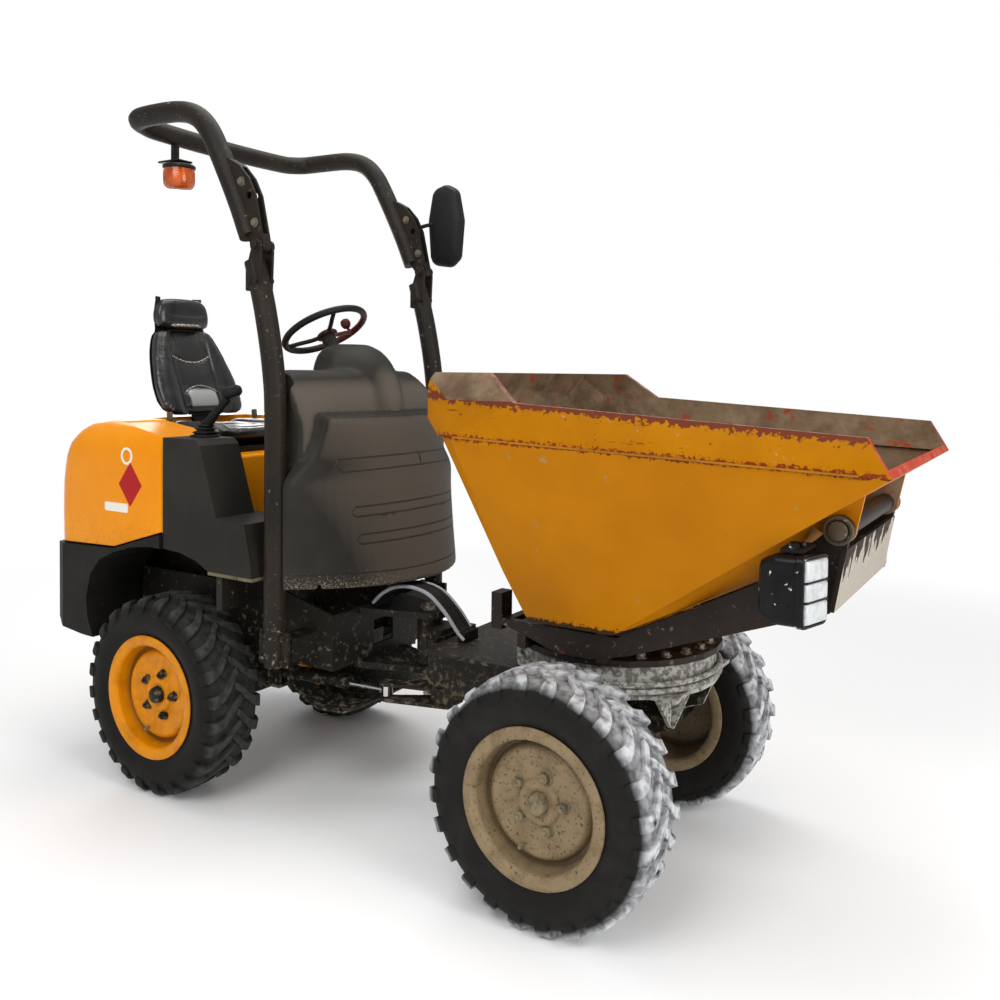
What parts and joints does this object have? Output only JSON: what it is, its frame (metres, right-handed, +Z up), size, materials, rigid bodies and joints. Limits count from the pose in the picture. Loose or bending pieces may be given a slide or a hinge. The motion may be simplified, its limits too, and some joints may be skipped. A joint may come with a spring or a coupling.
{
  "type": "articulated site dumper with swivel skip",
  "caption": "Small articulated site dumper: driver's station behind, swivelling and tipping skip in front, folding roll-over hoop, four block-tread wheels.",
  "frame": {"origin": "middle of the footprint, on the ground under the machine", "axes": "+X forward towards the skip's lip, +Y to the driver's left, +Z up"},
  "size_m": [3.333, 1.24, 2.6781],
  "materials": {
    "yellow_paint": "gloss, scratched and dusty",
    "black_paint": "satin, dusty",
    "grey_plastic": "grained moulded plastic",
    "muddy_steel": "matt, covered in dried mud",
    "muddy_rim": "matt, covered in dried mud",
    "engine_iron": "matt",
    "tyre": "matt, dusty",
    "black_vinyl": "satin",
    "black_rubber": "satin",
    "bright_steel": "bright, worn",
    "amber_lens": "gloss",
    "lamp_housing": "satin"
  },
  "bodies": {
    "rear_module": {"rear_frame": "black_paint", "rear_axle": "black_paint", "engine_block": "engine_iron", "rear_bumper": "black_paint", "side_console_right": "grey_plastic", "side_console_left": "grey_plastic", "floor_plate": "black_paint", "front_cowl": "grey_plastic", "steering_column": "black_paint", "drive_lever": "black_rubber", "hoop_post_right": "black_paint", "hoop_post_left": "black_paint", "belly_guard": "black_paint", "pivot_pin": "bright_steel"},
    "engine_cover": {"engine_hood": "yellow_paint", "seat_pan": "black_paint", "seat_cushion": "black_vinyl", "seat_backrest": "black_vinyl"},
    "hoop": {"folding_hoop": "black_paint", "beacon": "amber_lens", "mirror": "lamp_housing"},
    "steering_wheel": {"steering_wheel": "black_rubber"},
    "front_module": {"front_frame": "muddy_steel", "front_axle": "muddy_steel", "slew_ring_fixed": "muddy_steel", "pivot_hoses": "black_rubber"},
    "turntable": {"slew_ring_turning": "muddy_steel", "skip_carrier": "black_paint", "work_light_right": "lamp_housing", "work_light_left": "lamp_housing", "hinge_pin": "bright_steel"},
    "skip": {"skip": "yellow_paint"},
    "steer_barrel": {"steer_cylinder_barrel": "black_paint"},
    "steer_rod": {"steer_cylinder_rod": "bright_steel"},
    "tip_barrel": {"tip_cylinder_barrel": "black_paint"},
    "tip_rod": {"tip_cylinder_rod": "bright_steel"},
    "rear_wheel_right": {"rear_rim_right": "yellow_paint", "rear_tyre_right": "tyre"},
    "rear_wheel_left": {"rear_rim_left": "yellow_paint", "rear_tyre_left": "tyre"},
    "front_wheel_right": {"front_rim_right": "muddy_rim", "front_tyre_right": "tyre"},
    "front_wheel_left": {"front_rim_left": "muddy_rim", "front_tyre_left": "tyre"}
  },
  "joints": [
    {"name": "steer", "type": "hinge", "parent": "rear_module", "child": "front_module", "pos_m": [-0.0915, 0, 0.6], "axis": [0, 0, 1], "range_deg": [-35, 35], "deforming": ["pivot_hoses"]},
    {"name": "steer_barrel_swing", "type": "hinge", "parent": "rear_module", "child": "steer_barrel", "pos_m": [-0.6515, -0.215, 0.442], "axis": [0, 0, 1], "range_deg": [-8, 8]},
    {"name": "steer_rod_slide", "type": "slide", "parent": "steer_barrel", "child": "steer_rod", "axis": [0.9967, 0.0814, 0], "range_m": [-0.1, 0.1]},
    {"name": "skip_slew", "type": "hinge", "parent": "front_module", "child": "turntable", "pos_m": [0.7085, 0, 0.7], "axis": [0, 0, 1], "range_deg": [-90, 90]},
    {"name": "skip_tip", "type": "hinge", "parent": "turntable", "child": "skip", "pos_m": [1.5055, 0, 1.238], "axis": [0, 1, 0], "range_deg": [0, 75]},
    {"name": "tip_barrel_swing", "type": "hinge", "parent": "turntable", "child": "tip_barrel", "pos_m": [1.4385, 0, 1.03], "axis": [0, 1, 0], "range_deg": [0, 80]},
    {"name": "tip_rod_slide", "type": "slide", "parent": "tip_barrel", "child": "tip_rod", "axis": [-0.9339, 0, -0.3575], "range_m": [0, 0.3]},
    {"name": "hood_tilt", "type": "hinge", "parent": "rear_module", "child": "engine_cover", "pos_m": [-1.6655, 0, 0.918], "axis": [0, -1, 0], "range_deg": [0, 50]},
    {"name": "hoop_fold", "type": "hinge", "parent": "rear_module", "child": "hoop", "pos_m": [-0.5015, 0, 2.092], "axis": [0, -1, 0], "range_deg": [-150, 0]},
    {"name": "steering_wheel_turn", "type": "hinge", "parent": "rear_module", "child": "steering_wheel", "pos_m": [-0.6315, 0, 1.79], "axis": [-0.5, 0, 0.866], "range_deg": [-540, 540]},
    {"name": "rear_wheel_right_spin", "type": "hinge", "parent": "rear_module", "child": "rear_wheel_right", "pos_m": [-0.9815, -0.495, 0.38], "axis": [0, 1, 0], "continuous": true},
    {"name": "rear_wheel_left_spin", "type": "hinge", "parent": "rear_module", "child": "rear_wheel_left", "pos_m": [-0.9815, 0.495, 0.38], "axis": [0, 1, 0], "continuous": true},
    {"name": "front_wheel_right_spin", "type": "hinge", "parent": "front_module", "child": "front_wheel_right", "pos_m": [0.7155, -0.495, 0.38], "axis": [0, 1, 0], "continuous": true},
    {"name": "front_wheel_left_spin", "type": "hinge", "parent": "front_module", "child": "front_wheel_left", "pos_m": [0.7155, 0.495, 0.38], "axis": [0, 1, 0], "continuous": true}
  ],
  "couplings": [
    {"joint": "steer_barrel_swing", "follows": "steer", "ratio": -0.1792},
    {"joint": "steer_rod_slide", "follows": "steer", "m_per_rad": 0.1525},
    {"joint": "tip_barrel_swing", "follows": "skip_tip", "ratio": 1.0058},
    {"joint": "tip_rod_slide", "follows": "skip_tip", "m_per_rad": 0.2032}
  ]
}
